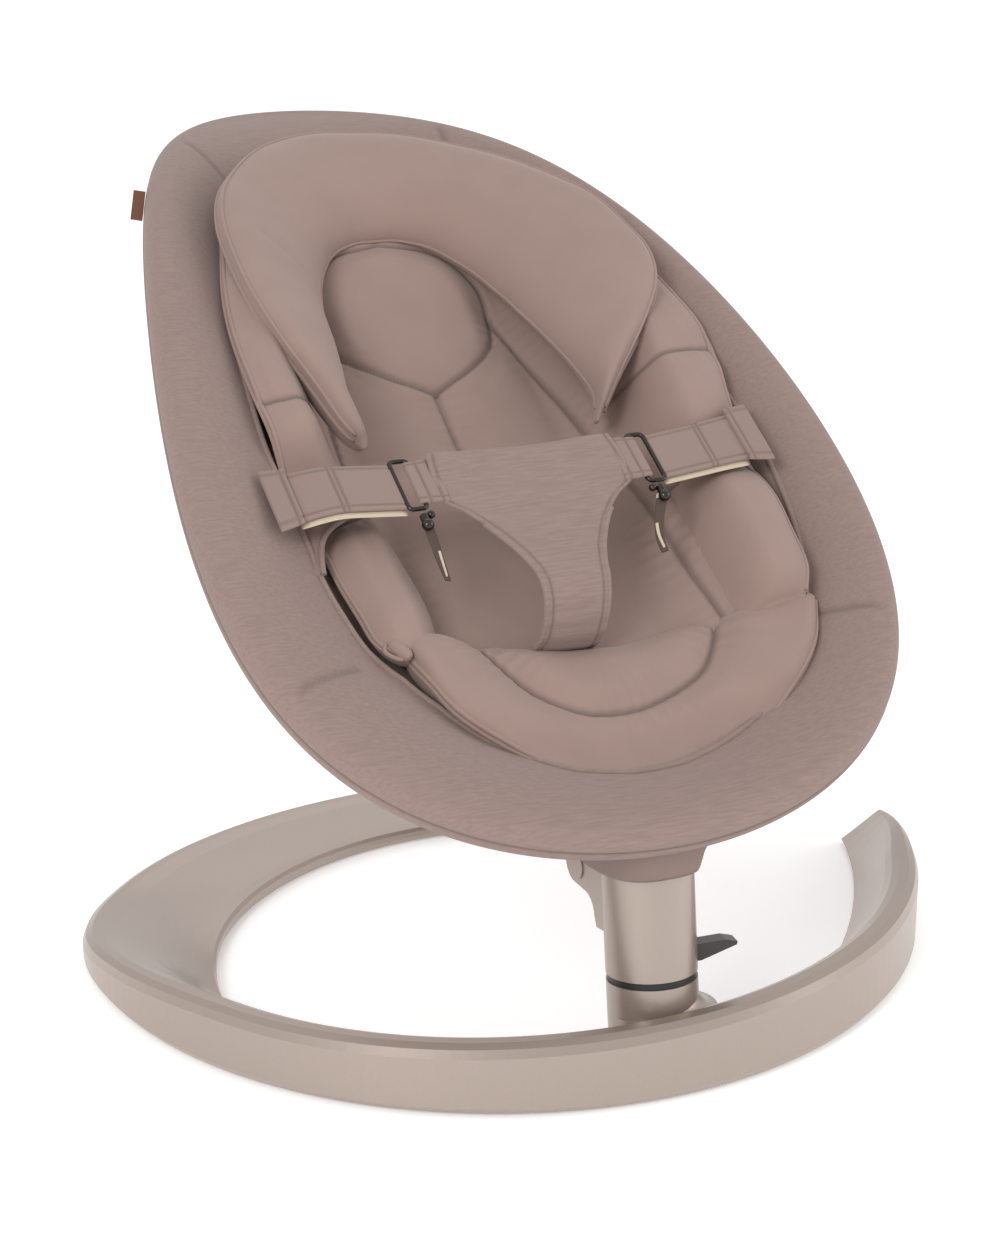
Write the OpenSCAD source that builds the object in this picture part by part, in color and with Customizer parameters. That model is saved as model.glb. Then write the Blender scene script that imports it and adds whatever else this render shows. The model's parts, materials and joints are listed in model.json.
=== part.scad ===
// Swaying bouncer seat: a floor ring, a leaning column that turns on a spindle, and an
// egg-shaped sling seat that reclines on the column's head.
// Lengths are millimetres. The floor is z = 0, the foot end faces -Y and the head end +Y.

/* [Floor ring] */
// Outside radius of the ring at the front and sides
ring_r = 260; // [250:1:270]
// Reach of the ring's outside behind its centre
ring_back = 198; // [190:1:215]
// Height of the standing part of the ring
ring_h = 48; // [42:1:54]
// Height of the part of the ring that lies flat
band_h = 11; // [9:1:14]
// Radius of the inside edge where the ring stands
toe_r = 216; // [210:1:222]
// Radius of the inside edge where the ring lies flat
inner_r = 199; // [192:1:206]
// How far the centre of that inside edge sits in front of the ring's centre
inner_fwd = 80; // [72:1:88]
// Height of the rubber feet under the ring
foot_h = 2; // [1.5:0.5:3]

/* [Column] */
// Distance from the ring's centre forward to the column at the floor
column_fwd = 220; // [216:1:224]
// Lean of the column and of the sway axis towards the head end
lean = 7.3; // [5:0.1:10]
// Outside radius of the column
column_r = 25.5; // [24:0.5:27]
// Radius of the spindle that the column turns on
spindle_r = 9; // [8:0.5:9.5]
// Length along the axis from the floor to the top of the column
column_top = 118; // [116:1:119]
// Length along the axis from the floor to the bottom of the column
column_foot = 57.6; // [57:0.2:58]

/* [Seat] */
// Length of the rim along the seat
seat_l = 702; // [680:1:720]
// Half width of the rim at mid length
seat_half_w = 193; // [185:1:200]
// Tilt of the seat's middle above level
seat_tilt = 30.1; // [28:0.1:32]
// Height of the rim's middle above the floor
seat_z = 344; // [336:1:352]
// Distance from the ring's centre back to the rim's middle
seat_back = 45; // [40:1:50]
// Radius of the rim's frame tube
tube_r = 9; // [8:0.5:9]
// Length of the well inside the padded rim
well_l = 613; // [600:1:620]
// Half width of the well at mid length
well_half_w = 152; // [146:1:154]
// Depth of the sling below the rim
well_depth = 82; // [76:1:86]

/* [Harness] */
// Width of the side straps
strap_w = 33; // [30:1:36]
// Reach of the straps from the middle
strap_reach = 158; // [152:1:162]
// Thickness of the wire buckles
wire_d = 2.8; // [2:0.2:3.2]

/* [Hidden] */
$fn = 48;

// The origin is under the middle of the whole object, so the ring's centre sits in front of it.
origin_back = 70;
// Lock lever: direction from +X, pivot radius, bolt radius and pivot height along the column.
lever_turn = -12;
lever_pivot_r = 22;
bolt_r_at = 15.5;
lever_z = 66;
// Recline axle, in the column's own frame.
axle_y = 42;
axle_z = 110;
axle_r = 5;
sector_r = 18.5;
recline_step = 8;
// Recline button window, in the column's own frame.
button_z = 85.2;
button_h = 13.6;
button_half_w = 21.4;
// Rim shape: how it bows, how its head end droops, and how egg-shaped it is.
rim_bow = 63;
rim_droop = 31;
rim_egg = [0.323, -0.223];
well_egg = [0.184, -0.227];
well_y = -6.5;

// ---- frames ----

module ring_frame() translate([0, -origin_back, 0]) children();
// Z runs up the sway axis, from where it meets the floor.
module column_frame() ring_frame() translate([0, -column_fwd, 0]) rotate([-lean, 0, 0]) children();
// Y runs along the seat to the head end, and Z is square to the seat.
module seat_frame() ring_frame() translate([0, seat_back, seat_z]) rotate([seat_tilt, 0, 0]) children();
// X runs out along the lever.
module lever_frame() column_frame() rotate([0, 0, lever_turn]) translate([0, 0, lever_z]) children();
module both_sides() { children(); mirror([1, 0, 0]) children(); }

// ---- shared shapes ----

function clamp01(t) = min(1, max(0, t));
function smooth(t) = let (u = clamp01(t)) u * u * (3 - 2 * u);
function mix(a, b, t) = a + (b - a) * t;
function unit(v) = v / norm(v);

// Joins rings of points into one solid, as a closed loop or with both ends closed in strips.
module skin(rings, loop = false) {
  n = len(rings);
  m = len(rings[0]);
  spans = loop ? n : n - 1;
  walls = [for (i = [0 : spans - 1], j = [0 : m - 1])
    let (a = i * m + j, b = i * m + (j + 1) % m, k = (i + 1) % n, c = k * m + (j + 1) % m, d = k * m + j)
    each [[a, b, c], [a, c, d]]];
  ends = loop ? [] : [for (j = [0 : m / 2 - 2], e = [0, (n - 1) * m])
    let (a = e + j, b = e + j + 1, c = e + m - 2 - j, d = e + m - 1 - j)
    each e > 0 ? [[a, b, c], [a, c, d]] : [[a, c, b], [a, d, c]]];
  polyhedron(points = [for (r = rings) each r], faces = concat(walls, ends), convexity = 8);
}

// A round tube along a path of points, in a plane frame that keeps to the seat's Z.
function tube_ring(p, dir, r, sides) =
  let (side = unit(cross(dir, [0, 0, 1])), up = cross(side, dir))
  [for (k = [0 : sides - 1]) p + r * (side * cos(360 * k / sides) + up * sin(360 * k / sides))];
function path_dir(path, i) = unit(path[min(i + 1, len(path) - 1)] - path[max(i - 1, 0)]);
module tube(path, r, sides = 12)
  skin([for (i = [0 : len(path) - 1]) tube_ring(path[i], path_dir(path, i), r, sides)]);

// ---- the rim and the well, in the seat's frame ----

function egg_x(c, half_w, e) =
  half_w * sqrt(max(0, 1 - c * c)) * (1 - e[0] * c - e[1] * c * c);
function rim_n(s) = let (u = s / (seat_l / 2)) -rim_bow * u * u - rim_droop * u * u * u;
function rim_x(c) = egg_x(c, seat_half_w, rim_egg);
function well_w(s) = egg_x((s - well_y) / (well_l / 2), well_half_w, well_egg);
// Height of the sling over the well's floor plan.
function sling_n(x, s) =
  let (v = abs((s - well_y) / (well_l / 2)), w = max(1, well_w(s)))
  rim_n(s) - well_depth * (1 - pow(min(1, v), 3)) * (1 - pow(min(1, abs(x) / w), 3));

// A soft slab over the seat's plan: it reaches between two side lines from s0 to s1.
module slab(s0, s1, left, right, low, high, rows = 14, cols = 10)
  skin([for (i = [0 : rows])
    let (s = mix(s0, s1, i / rows), a = left(s), b = right(s))
    concat([for (j = [0 : cols]) let (x = mix(b, a, j / cols)) [x, s, low(x, s)]],
      [for (j = [0 : cols]) let (x = mix(a, b, j / cols)) [x, s, high(x, s)]])]);
// Height of a pad's crown at u across and v along, each from 0 to 1.
function crown(u, v, p = 4) =
  sqrt(max(0, (1 - pow(abs(2 * clamp01(u) - 1), p)) * (1 - pow(abs(2 * clamp01(v) - 1), p))));

// ---- floor ring ----

function ring_top(a) =
  ring_h - 8 * smooth((30 - a) / 90) - (ring_h - 8 - band_h) * smooth((-58 - a) / 62)
  - 8 * pow(clamp01((a - 70) / 10), 2);
function ring_outer(a) =
  abs(a) <= 90 ? ring_r : ring_r * ring_back / norm([ring_back * sin(a), ring_r * cos(a)]);
function ring_toe(a) =
  a > 45 ? mix(toe_r, ring_r - 7, pow((a - 45) / 47, 2))
  : min(toe_r, inner_fwd * cos(a) + sqrt(pow(inner_r, 2) - pow(inner_fwd * sin(a), 2)));
function ring_lip(a) = mix(6, band_h - 1, smooth((-45 - a) / 45));
// The last 12 degrees lean over the tip, so the ring's open end is raked.
function rake(a, z) = a + 12 * smooth((a - 56) / 24) * (1 - z / ring_h);
// Outline across the ring at angle a from the front: radius and height.
function ring_section(a) =
  let (o = ring_outer(a), i = ring_toe(min(92, a + 12 * smooth((a - 56) / 24))), h = ring_top(a),
    l = ring_lip(a), t = clamp01((-196 - a) / 18), round = (o - i) / 2 * (1 - sqrt(max(0, 1 - t * t))),
    ro = o - round * 0.94, ri = i + round * 0.94, w = min(12, (ro - ri) / 3), b = foot_h)
  concat([[ro - 3, b], [ro, b + 4], [ro, max(h - 7, b + 5)], [ro - w / 6, h - 2.2], [ro - w / 2, h], [ro - w, h]],
    [for (k = [1 : 6]) let (u = k / 7) [mix(ro - w, ri, u), mix(h, l, u * u * (2.2 - 1.2 * u)) - 0.8 * (1 - u)]],
    [[mix(ro - w, ri, 0.96), l + 0.3], [mix(ro - w, ri, 0.99), l - 1.5], [ri, mix(b, l, 0.45)], [ri + 2, b]]);
module ring_body() {
  steps = 140;
  skin([for (k = [0 : steps]) let (a = mix(-213.5, 80, k / steps))
    [for (p = ring_section(a)) let (q = rake(a, p[1])) [p[0] * sin(q), -p[0] * cos(q), p[1]]]]);
}

stub_top = 53.5;
bolt_seat = 13;
module base_ring() color("tan") difference() {
  union() {
    ring_frame() ring_body();
    column_frame() {
      translate([0, 0, 6]) cylinder(h = stub_top - 6, r = column_r);
      // The foot's flare is set off to the right and front, and leaves the stub straight at its left.
      translate([4.9, -2.2, 0]) rotate_extrude() difference() {
        translate([0, 20]) square([column_r + 4.6, 26]);
        translate([column_r + 5.1, 46.5]) circle(r = 11);
      }
    }
  }
  column_frame() {
    translate([0, 0, 22]) cylinder(h = 40, r = spindle_r);
    cylinder(h = 30, r = 4.3);
    translate([0, 0, -5]) cylinder(h = bolt_seat + 5, r = 7.5);
  }
  translate([-400, -400, -60]) cube([800, 800, 60 + foot_h]);
}

// Each foot is an angle from the front and a radius.
foot_places = [[-198, 156], [-150, 162], [-104, 214], [-55, 236], [28, 237], [72, 242]];
module foot_pads() color("dimgray") ring_frame()
  for (f = foot_places) rotate([0, 0, f[0]]) translate([0, -f[1], 0]) cylinder(h = foot_h, r = 8);

// ---- spindle, in the column's frame ----

module spindle() color("silver") column_frame() difference() {
  union() {
    translate([0, 0, 22]) cylinder(h = 90, r = spindle_r);
    translate([0, 0, 111]) cylinder(h = 8.2, r = 6);
  }
  translate([0, 0, 21]) cylinder(h = 19, r = 4);
}

module spindle_bolt() color("gray") column_frame() difference() {
  union() {
    translate([0, 0, bolt_seat]) cylinder(h = 24, r = 4);
    translate([0, 0, bolt_seat - 7]) cylinder(h = 7, r = 6.5);
  }
  translate([0, 0, bolt_seat - 8]) cylinder(h = 5, r = 3.5, $fn = 6);
}

module gap_ring() color("black") column_frame() translate([0, 0, stub_top]) difference() {
  cylinder(h = 3.8, r = column_r - 0.9);
  translate([0, 0, -1]) cylinder(h = 6, r = spindle_r);
}

// The bolt drops into the middle hole; the outer two are where it stands at the ends of the sway.
sway_end = 28;
module lock_plate() color("darkgray") column_frame() translate([0, 0, stub_top + 3.8]) difference() {
  cylinder(h = 4, r = 21.4);
  translate([0, 0, -1]) cylinder(h = 6, r = spindle_r);
  for (a = [-sway_end, 0, sway_end]) rotate([0, 0, lever_turn + a])
    translate([bolt_r_at, 0, -1]) cylinder(h = 6, r = 2.8);
}

module spindle_nut() color("gray") column_frame() {
  difference() {
    translate([0, 0, 112]) cylinder(h = 2, r = 12);
    translate([0, 0, 111]) cylinder(h = 4, r = 6);
  }
  difference() {
    translate([0, 0, 114]) cylinder(h = 5.4, r = 9.8, $fn = 6);
    translate([0, 0, 113]) cylinder(h = 8, r = 6);
  }
}

// ---- column and what turns with it ----

head_w = 46;
// Side outline of the head that reaches back from the column: y and height along the axis.
head_outline = concat([[0, 80], [20, 80]],
  [for (a = [180 : -15 : 90]) [34 + 12 * cos(a), 85.5 + 12 * sin(a)]],
  [for (a = [-90 : 15 : 0]) [46 + 11 * cos(a), 111 + 12 * sin(a)]],
  [[57, column_top], [0, column_top]]);
module column() color("tan") column_frame() difference() {
  union() {
    translate([0, 0, column_foot]) cylinder(h = column_top - column_foot, r = column_r);
    translate([-head_w / 2, 0, 0]) rotate([90, 0, 90]) linear_extrude(head_w) polygon(head_outline);
  }
  translate([0, 0, column_foot - 1]) cylinder(h = 85 - column_foot, r = 22);
  translate([0, 0, 80]) cylinder(h = 50, r = 13.5);
  translate([-button_half_w - 0.5, 11, button_z - 0.5]) cube([2 * button_half_w + 1, 30, button_h + 1]);
  translate([-6.5, 14.6, 90]) cube([13, 8.4, 20]);
  translate([-13, 15.6, 100]) cube([26, 36.8, 30]);
  translate([-40, axle_y, axle_z]) rotate([0, 90, 0]) cylinder(h = 80, r = axle_r);
  rotate([0, 0, lever_turn]) {
    translate([10, -6.3, column_foot - 1]) cube([20, 12.6, 16.9]);
    translate([lever_pivot_r, -8, lever_z]) rotate([-90, 0, 0]) cylinder(h = 16, r = 1.2);
  }
}

module bearing(z, h, r) column_frame() translate([0, 0, z]) difference() {
  cylinder(h = h, r = r);
  translate([0, 0, -1]) cylinder(h = h + 2, r = spindle_r + 0.05);
}
module lower_bearing() color("ivory") bearing(76, 7.9, 22);
module upper_bearing() color("ivory") bearing(101.8, 10, 13.5);

module lock_carrier() color("slategray") column_frame() difference() {
  translate([0, 0, 62.2]) cylinder(h = 13.6, r = 22);
  translate([0, 0, 60]) cylinder(h = 20, r = 10);
  rotate([0, 0, lever_turn]) {
    translate([17.9, -6.3, 60]) cube([8, 12.6, 20]);
    translate([10, -1.5, 60]) cube([10, 3, 20]);
    translate([bolt_r_at, 0, 60]) cylinder(h = 20, r = 2.3);
    translate([lever_pivot_r, -8, lever_z]) rotate([-90, 0, 0]) cylinder(h = 16, r = 1.2);
  }
}

module lever_pin() color("silver") lever_frame()
  translate([lever_pivot_r, -7.6, 0]) rotate([-90, 0, 0]) cylinder(h = 15.2, r = 1.2);

module recline_axle() color("silver") column_frame()
  translate([-head_w / 2, axle_y, axle_z]) rotate([0, 90, 0]) cylinder(h = head_w, r = axle_r);

module axle_caps() color("tan") column_frame() both_sides()
  translate([head_w / 2, axle_y, axle_z]) rotate([0, 90, 0]) cylinder(h = 0.8, r = 8);

// ---- sway lock ----

// Side outline of the lever from its finger out to its paddle.
lever_outline = [[-7.9, -0.9], [-2.2, -0.9], [-1.6, -3.4], [2.4, -5.2], [5, -5.2], [25.5, 1.6], [26, 3.4],
  [19, 5.2], [2.6, 4.4], [-1.6, 3.2], [-2.2, 0.9], [-7.9, 0.9]];
module lock_lever() color("black") lever_frame() difference() {
  intersection() {
    translate([lever_pivot_r, 5.6, 0]) rotate([90, 0, 0]) linear_extrude(11.2) polygon(lever_outline);
    union() {
      translate([lever_pivot_r - 3.4, -5.6, -8]) cube([34, 11.2, 20]);
      translate([0, -1.1, -8]) cube([30, 2.2, 20]);
    }
  }
  translate([lever_pivot_r, -8, 0]) rotate([-90, 0, 0]) cylinder(h = 16, r = 1.25);
}

module lock_bolt() color("silver") lever_frame() difference() {
  translate([bolt_r_at, 0, 61.9 - lever_z]) cylinder(h = 11.6, r = 2.2);
  translate([bolt_r_at - 4, -1.3, -2.2]) cube([8, 2.6, 4.4]);
}

// ---- recline release ----

module recline_button() color("dimgray") column_frame() difference() {
  intersection() {
    translate([0, 0, button_z]) cylinder(h = button_h, r = column_r + 3);
    translate([-button_half_w, 14.2, 80]) cube([2 * button_half_w, 20, 30]);
  }
  translate([-button_half_w + 3, 10, button_z + 3]) cube([2 * button_half_w - 6, 8.6, button_h - 6]);
}

module release_tongue() color("silver") column_frame() {
  translate([-6, 18.6, button_z + 3.2]) cube([12, 2.4, 27.6]);
  translate([-6, 20.9, axle_z - 0.8]) cube([12, 2.3, 1.6]);
}

// ---- seat frame ----

module sector_side() difference() {
  union() {
    circle(r = 9.6);
    intersection() {
      circle(r = sector_r);
      polygon([[0, 0], [-40, 16], [-40, -17]]);
    }
    translate([-9, 0]) square([13, 13]);
  }
  for (k = [0 : 2]) rotate(recline_step * k) translate([-sector_r - 1, -1]) square([3, 2]);
}
module saddle() color("dimgray") column_frame() {
  difference() {
    translate([-12, axle_y, axle_z]) rotate([90, 0, 90]) linear_extrude(24) sector_side();
    translate([-20, axle_y, axle_z]) rotate([0, 90, 0]) cylinder(h = 40, r = 8);
    translate([-20, 0, column_top + 2.4]) cube([40, 80, 20]);
  }
  difference() {
    translate([-21, -8, column_top + 2.4]) cube([42, 53, 4]);
    for (x = [-16, 16], y = [-3, 37]) translate([x, y, 118]) cylinder(h = 10, r = 2.2);
  }
}

module recline_bush() color("ivory") column_frame() translate([-12.4, axle_y, axle_z]) rotate([0, 90, 0])
  difference() {
    cylinder(h = 24.8, r = 8);
    translate([0, 0, -1]) cylinder(h = 27, r = axle_r + 0.05);
  }

module saddle_screws() color("silver") column_frame() for (x = [-16, 16], y = [-3, 37]) {
  translate([x, y, column_top + 2]) cylinder(h = 7.6, r = 2.2);
  translate([x, y, column_top + 0.5]) cylinder(h = 1.9, r = 4);
}

// A point on the tube's centre line, in from the rim's edge.
tube_in = 11.5;
function rim_at(t) = [sign(sin(t)) * rim_x(cos(t)), seat_l / 2 * cos(t), 0];
function rim_out(t) = let (d = rim_at(t + 1) - rim_at(t - 1)) unit([-d[1], d[0], 0]);
function tube_at(t) = let (p = rim_at(t) - tube_in * rim_out(t)) [p[0], p[1], rim_n(p[1])];
function well_at(t) = let (c = cos(t), s = well_y + well_l / 2 * c)
  [sign(sin(t)) * egg_x(c, well_half_w, well_egg), s, rim_n(s)];
rim_steps = 64;

module frame_tube() color("gray") seat_frame()
  skin([for (k = [0 : rim_steps - 1]) let (t = 360 * k / rim_steps)
    tube_ring(tube_at(t), unit(tube_at(t + 1) - tube_at(t - 1)), tube_r, 12)], loop = true);

function rail_mid(s) = (sling_n(21, s) - 3 + under_n(21, s)) / 2;
function rail_n(s) = s < -222 ? mix(-88, rail_mid(-222), (s + 290) / 68) : rail_mid(s);
module spine_rails() color("gray") seat_frame() for (x = [-21, 21])
  tube([for (k = [0 : 12]) let (s = mix(-290, 60, k / 12)) [x, s, rail_n(s)]], 5, 10);

bow_s = 62;
function bow_n(x) = rim_n(bow_s) - 4 - 90 * (1 - pow(min(1, abs(x) / 160), 2.4));
module cross_bow() color("gray") seat_frame()
  tube([for (k = [0 : 20]) let (x = mix(-165, 165, k / 20)) [x, bow_s, bow_n(x)]], 5, 10);

// ---- covers ----

cover_r = 11.5;
function band_section(w) = concat(
  [for (a = [-130 : 36 : 86]) cover_r * [cos(a), sin(a)]],
  [[-w * 0.5, cover_r + 0.8], [5 - w, 10.2], [-w, 6.4], [1 - w, 1.8], [-w * 0.55, 5.2], [-12.6, 6.6]],
  [for (a = [140 : -45 : -130]) (tube_r + 0.4) * [cos(a), sin(a)]]);
module rim_cover() color("rosybrown") seat_frame()
  skin([for (k = [0 : rim_steps - 1])
    let (t = 360 * k / rim_steps, o = tube_at(t), q = well_at(t), d = [o[0] - q[0], o[1] - q[1], 0],
      e = unit(d), rise = (o[2] - q[2]) / norm(d))
    [for (p = band_section(norm(d))) o + p[0] * e + [0, 0, p[1] + min(0, p[0]) * rise]]], loop = true);

module sling() color("rosybrown") seat_frame()
  slab(-304, 291, function (s) -(well_w(s) - 2.5), function (s) well_w(s) - 2.5,
    function (x, s) sling_n(x, s) - 3, function (x, s) sling_n(x, s), 26, 18);

// The under cover hangs from below the rim's tube all round, and is open in front for the saddle.
function under_w(s) = rim_x(s / (seat_l / 2)) - tube_in;
function under_n(x, s) =
  let (v = abs((s - well_y) / 322)) rim_n(s) - 14
  - (well_depth + 9) * (1 - pow(min(1, v), 2.6)) * (1 - pow(min(1, abs(x) / under_w(s)), 3));
module under_cover() color("rosybrown") seat_frame()
  slab(-222, 312, function (s) -under_w(s), function (s) under_w(s),
    function (x, s) under_n(x, s) - 2, function (x, s) under_n(x, s), 24, 18);

// ---- padded insert ----

pad_gap = 2.2;
function pad_low(x, s) = sling_n(x, s) + pad_gap;
back_w = 86;
module back_pad() color("tan") seat_frame()
  slab(-200, 4, function (s) -back_w, function (s) back_w, function (x, s) pad_low(x, s),
    function (x, s) pad_low(x, s) + 4 + 20 * crown((x + back_w) / (2 * back_w), (s + 200) / 204));

function head_w_at(s) = 60 * sqrt(max(0.02, 1 - pow((s - 71) / 65, 2)));
module head_pad() color("tan") seat_frame()
  slab(7, 135, function (s) -head_w_at(s), function (s) head_w_at(s), function (x, s) pad_low(x, s),
    function (x, s) pad_low(x, s) + 4 + 34 * crown((x / head_w_at(s) + 1) / 2, (s - 7) / 128));

// The pillow lies on this dished surface, which rises to the rim outside and at the head.
function nest_n(x, s) =
  let (q = s > 60 ? norm([x / 140, (s - 60) / 205]) : abs(x) / 140) rim_n(s) - 40 + 42 * clamp01((q - 0.45) / 0.5);
function bolster_top(x, s) =
  let (b = pad_low(x, s), h = mix(nest_n(x, s) - 1.2, rim_n(s) + 9, clamp01((abs(x) - 135) / 5)))
  max(b + 3, mix(rim_n(s) - 22 + 26 * clamp01((abs(x) - 90) / 50), h, smooth((s + 100) / 15)));
module bolster(side) seat_frame()
  slab(-203, 96, function (s) side > 0 ? back_w + 1 : -(well_w(s) - 3),
    function (s) side > 0 ? well_w(s) - 3 : -back_w - 1, function (x, s) pad_low(x, s),
    function (x, s) bolster_top(x, s), 22, 8);
module bolster_left() color("tan") bolster(-1);
module bolster_right() color("tan") bolster(1);

module front_pad() color("tan") seat_frame()
  slab(-300, -205, function (s) -(well_w(s) - 3), function (s) well_w(s) - 3,
    function (x, s) pad_low(x, s),
    function (x, s) pad_low(x, s) + 4 + (20 + 26 * pow(x / 120, 2))
      * crown((x / (well_w(s) - 3) + 1) / 2, (s + 300) / 95), 10, 14);

// Inside and outside lines of the horseshoe pillow, as it is followed from one tip to the other.
function pillow_in(a) = [66 * sin(a), 40 + (a < 90 ? 101 : 101) * cos(a), 0];
function pillow_out(a) = [134 * sin(a), 40 + 216 * cos(a), 0];
pillow_leg = 108;
function pillow_line(k, out) =
  let (a = clamp01((abs(k) - 90) / 40), b = min(abs(k), 90), p = out ? pillow_out(b) : pillow_in(b))
  [sign(k) * (p[0] + a * (out ? -26 : 12)), p[1] - a * pillow_leg, 0];
module head_pillow() color("tan") seat_frame()
  skin([for (i = [0 : 26])
    let (k = mix(130, -130, i / 26) + 0.01, p = pillow_line(k, false), q = pillow_line(k, true),
      end = sqrt(max(0.04, 1 - pow(clamp01((abs(k) - 112) / 19), 2))))
    [for (j = [0 : 17])
      let (g = 180 + 20 * j, u = (1 + cos(g)) / 2, v = mix(p, q, u), x = v[0], s = v[1])
      [x, s, nest_n(x, s) + 15 + 14.5 * sin(g) * end]]]);

module insert_loops() color("tan") seat_frame() both_sides()
  translate([131, -226, rim_n(-226) + 12.4]) rotate([0, 0, -35]) cube([7, 12, 5]);

// ---- harness ----

harness_s = -102;
harness_n = rim_n(harness_s) + 10.6;
// Half width of the T: its lugs reach out to the buckles, and its stem narrows below them.
function panel_w(s) =
  s > harness_s + 12 ? 58 : s > harness_s - 12 ? 76
  : mix(20, 58, pow(clamp01((s + 172) / (160 + harness_s)), 2));
function panel_n(s) = harness_n - 4 - 38 * pow(smooth((-130 - s) / 66), 2);
module crotch_panel() color("rosybrown") seat_frame()
  slab(-197, harness_s + strap_w / 2 + 2, function (s) -panel_w(s), function (s) panel_w(s),
    function (x, s) panel_n(s), function (x, s) panel_n(s) + 3.6, 24, 6);

module strap() seat_frame() translate([83, harness_s - strap_w / 2, harness_n]) cube([strap_reach - 83, strap_w, 3.2]);
module strap_right() color("rosybrown") strap();
module strap_left() color("rosybrown") mirror([1, 0, 0]) strap();

module strap_tab() seat_frame()
  translate([85, harness_s - strap_w / 2 + 2, harness_n - 3.2]) cube([49, strap_w - 3, 2.8]);
module strap_tab_right() color("wheat") strap_tab();
module strap_tab_left() color("wheat") mirror([1, 0, 0]) strap_tab();

// A flat loop of wire with round corners.
module wire_loop(w, l, d) {
  c = 3;
  for (x = [-1, 1]) translate([x * w / 2, l / 2 - c, 0]) rotate([90, 0, 0]) cylinder(h = l - 2 * c, d = d);
  for (y = [-1, 1]) translate([c - w / 2, y * l / 2, 0]) rotate([0, 90, 0]) cylinder(h = w - 2 * c, d = d);
  for (x = [-1, 1], y = [-1, 1]) translate([x * (w / 2 - c), y * (l / 2 - c), 0])
    rotate([0, 0, x > 0 ? (y > 0 ? 0 : -90) : (y > 0 ? 90 : 180)])
    rotate_extrude(angle = 90) translate([c, 0]) circle(d = d, $fn = 24);
}
buckle_x = 75;
module buckle() seat_frame() translate([buckle_x, harness_s, harness_n + 0.6]) wire_loop(11, strap_w + 5, wire_d);
module buckle_right() color("darkslategray") buckle();
module buckle_left() color("darkslategray") mirror([1, 0, 0]) buckle();

swivel_s = harness_s - strap_w / 2 - 8.4;
module swivel() seat_frame() translate([buckle_x - 1, swivel_s, harness_n + 0.6]) {
  rotate([90, 0, 0]) cylinder(h = 6, r = 2.6);
  translate([0, -7, 0]) sphere(r = 3.6);
  translate([-4.5, 0.4, 0]) sphere(r = 2.4);
}
module swivel_right() color("darkslategray") swivel();
module swivel_left() color("darkslategray") mirror([1, 0, 0]) swivel();

module tether() seat_frame() hull() {
  translate([buckle_x - 6, swivel_s - 14, harness_n - 4]) cube([10, 2, 2]);
  translate([buckle_x - 9, swivel_s - 30, harness_n - 21]) cube([6, 2, 2]);
}
module tether_right() color("dimgray") tether();
module tether_left() color("dimgray") mirror([1, 0, 0]) tether();

// The tag stands out of the rim's edge seam.
tag_t = -57.5;
module side_tag() color("saddlebrown") seat_frame() {
  p = tube_at(tag_t);
  n = rim_out(tag_t);
  translate(p) rotate([0, 0, atan2(n[1], n[0])]) translate([cover_r + 0.2, -13, -1.5]) cube([7.5, 26, 3]);
}

base_ring();
foot_pads();
spindle();
spindle_bolt();
gap_ring();
lock_plate();
spindle_nut();
column();
lower_bearing();
upper_bearing();
lock_carrier();
lever_pin();
recline_axle();
axle_caps();
lock_lever();
lock_bolt();
recline_button();
release_tongue();
saddle();
recline_bush();
saddle_screws();
frame_tube();
spine_rails();
cross_bow();
rim_cover();
sling();
under_cover();
back_pad();
head_pad();
bolster_left();
bolster_right();
front_pad();
head_pillow();
insert_loops();
crotch_panel();
strap_left();
strap_right();
strap_tab_left();
strap_tab_right();
buckle_left();
buckle_right();
swivel_left();
swivel_right();
tether_left();
tether_right();
side_tag();
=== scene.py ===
"""Looks of the swaying bouncer seat: fabric, padding, piping, webbing and finishes on the CAD frame."""

import json
import math

import bpy
import numpy as np
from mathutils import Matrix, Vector

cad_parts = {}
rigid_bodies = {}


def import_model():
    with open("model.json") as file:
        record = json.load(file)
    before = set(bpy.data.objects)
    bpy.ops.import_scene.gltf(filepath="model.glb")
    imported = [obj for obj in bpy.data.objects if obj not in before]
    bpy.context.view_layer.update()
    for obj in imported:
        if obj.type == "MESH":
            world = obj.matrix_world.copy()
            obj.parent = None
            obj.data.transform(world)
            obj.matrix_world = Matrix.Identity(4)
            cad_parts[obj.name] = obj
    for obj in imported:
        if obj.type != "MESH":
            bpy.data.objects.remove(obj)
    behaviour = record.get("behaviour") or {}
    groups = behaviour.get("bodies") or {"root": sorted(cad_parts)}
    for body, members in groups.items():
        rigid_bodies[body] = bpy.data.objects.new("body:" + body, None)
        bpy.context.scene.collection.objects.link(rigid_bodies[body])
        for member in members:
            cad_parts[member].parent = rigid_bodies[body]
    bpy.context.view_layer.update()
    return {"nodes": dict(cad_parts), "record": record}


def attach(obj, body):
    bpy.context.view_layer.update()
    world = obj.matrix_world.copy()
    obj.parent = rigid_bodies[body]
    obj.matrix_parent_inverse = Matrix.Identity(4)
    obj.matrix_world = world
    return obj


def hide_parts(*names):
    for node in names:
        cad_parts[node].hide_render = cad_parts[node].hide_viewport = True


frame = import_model()

# ---- the seat's own plane: x across, s towards the head, n square to it, in millimetres ----

TILT = math.radians(30.1)
SEAT_Y, SEAT_Z = -25, 344
RIM_L, TUBE_IN, TUBE_R = 351.0, 11.5, 9.0
COVER_R = TUBE_R + 2.6


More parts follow.
